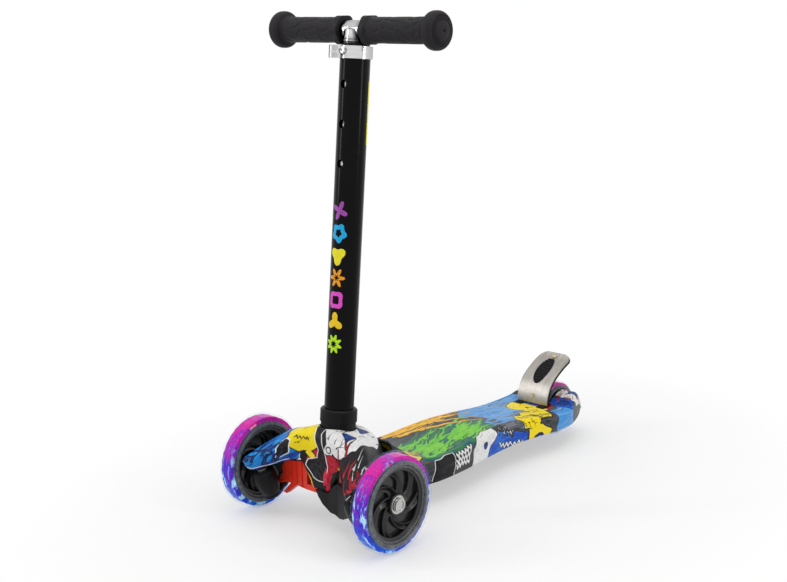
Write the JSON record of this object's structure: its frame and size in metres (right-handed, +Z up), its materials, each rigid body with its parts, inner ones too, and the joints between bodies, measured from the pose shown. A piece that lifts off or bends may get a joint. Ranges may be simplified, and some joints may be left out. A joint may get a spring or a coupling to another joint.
{
  "type": "kick scooter",
  "caption": "Lean-to-steer kick scooter with a sliding T-bar, swirl-spoked light-up wheels, a printed deck and a rear foot brake.",
  "frame": {"origin": "on the ground, on the middle plane, halfway between the front of the front tyres and the back of the rear tyre", "axes": "+Z up, -Y the way it rolls, +X the rider's left"},
  "size_m": [0.266, 0.571, 0.613],
  "materials": {
    "printed_shell": "printed colour film under gloss lacquer",
    "black_plastic": "fine moulded grain",
    "black_gloss": "glossy moulding",
    "red_plastic": "satin moulding",
    "zinc_steel": "zinc plated",
    "bright_steel": "bright turned steel",
    "brushed_plate": "brushed across",
    "brass_rivet": "dull domed head",
    "black_rubber": "matt rubber",
    "clear_tyre": "clear cast polyurethane",
    "tinted_ring": "swirled magenta, violet and cyan",
    "white_light": "milky lamp window",
    "black_tube": "gloss black enamel",
    "cast_clamp": "polished casting",
    "yellow_film": "printed film",
    "chrome_bar": "chrome plated tube"
  },
  "bodies": {
    "deck": {"deck_shell": "printed_shell", "deck_underframe": "black_plastic", "underframe_screws": "zinc_steel", "steering_crossbeam": "black_plastic", "chassis_bolts": "zinc_steel", "column_pin": "zinc_steel", "nose_cover": "printed_shell", "kingpins": "zinc_steel", "kingpin_nuts": "zinc_steel", "thrust_washers": "zinc_steel", "centring_bushes": "black_rubber", "outer_tube": "black_tube", "foot_collar": "black_plastic", "tube_clamp": "cast_clamp", "clamp_bolts": "bright_steel", "collar_bush": "black_plastic", "height_strip": "yellow_film", "rear_axle": "bright_steel", "axle_spacers": "bright_steel", "brake_pin": "zinc_steel", "brake_spring": "zinc_steel"},
    "bar": {"t_bar": "chrome_bar", "stem_bush": "black_plastic", "grip_left": "black_rubber", "grip_right": "black_rubber", "button_spring": "zinc_steel"},
    "button": {"snap_button": "bright_steel"},
    "left_knuckle": {"knuckle_left": "black_plastic", "axle_bolt_left": "bright_steel"},
    "right_knuckle": {"knuckle_right": "black_plastic", "axle_bolt_right": "bright_steel"},
    "tie": {"tie_rod": "red_plastic", "tie_pins": "zinc_steel"},
    "left_wheel": {"front_left_hub": "black_gloss", "front_left_light_ring": "tinted_ring", "front_left_light_pods": "white_light", "front_left_tyre": "clear_tyre", "front_left_bearings": "bright_steel"},
    "right_wheel": {"front_right_hub": "black_gloss", "front_right_light_ring": "tinted_ring", "front_right_light_pods": "white_light", "front_right_tyre": "clear_tyre", "front_right_bearings": "bright_steel"},
    "back_wheel": {"rear_hub": "black_gloss", "rear_light_ring": "tinted_ring", "rear_light_pods": "white_light", "rear_tyre": "clear_tyre", "rear_bearings": "bright_steel"},
    "brake": {"brake_plate": "brushed_plate", "brake_backing": "black_plastic", "brake_pad": "black_rubber", "brake_rivets": "brass_rivet"}
  },
  "joints": [
    {"name": "steer_left", "type": "hinge", "parent": "deck", "child": "left_knuckle", "pos_m": [0.08, -0.248, 0.054], "axis": [0, -0.3746, 0.9272], "range_deg": [-12, 12], "stiffness_Nm_per_rad": 4},
    {"name": "steer_right", "type": "hinge", "parent": "deck", "child": "right_knuckle", "pos_m": [-0.08, -0.248, 0.054], "axis": [0, -0.3746, 0.9272], "range_deg": [-12, 12], "stiffness_Nm_per_rad": 4},
    {"name": "tie_swivel", "type": "hinge", "parent": "left_knuckle", "child": "tie", "pos_m": [0.08, -0.21636, 0.03442], "axis": [0, -0.3746, 0.9272], "range_deg": [-12, 12]},
    {"name": "left_wheel_spin", "type": "hinge", "parent": "left_knuckle", "child": "left_wheel", "pos_m": [0.112, -0.2255, 0.06], "axis": [1, 0, 0], "continuous": true},
    {"name": "right_wheel_spin", "type": "hinge", "parent": "right_knuckle", "child": "right_wheel", "pos_m": [-0.112, -0.2255, 0.06], "axis": [1, 0, 0], "continuous": true},
    {"name": "back_wheel_spin", "type": "hinge", "parent": "deck", "child": "back_wheel", "pos_m": [0, 0.2455, 0.04], "axis": [1, 0, 0], "continuous": true},
    {"name": "foot_brake", "type": "hinge", "parent": "deck", "child": "brake", "pos_m": [0, 0.196, 0.05], "axis": [-1, 0, 0], "range_deg": [0, 12], "stiffness_Nm_per_rad": 1, "springref_deg": -11.46},
    {"name": "bar_height", "type": "slide", "parent": "deck", "child": "bar", "axis": [0, 0.0931, 0.9957], "range_m": [0, 0.13]},
    {"name": "button_press", "type": "slide", "parent": "bar", "child": "button", "axis": [0, -0.9957, 0.0931], "range_m": [0, 0.0045]}
  ],
  "couplings": [
    {"joint": "steer_right", "follows": "steer_left", "ratio": 1},
    {"joint": "tie_swivel", "follows": "steer_left", "ratio": -1}
  ]
}
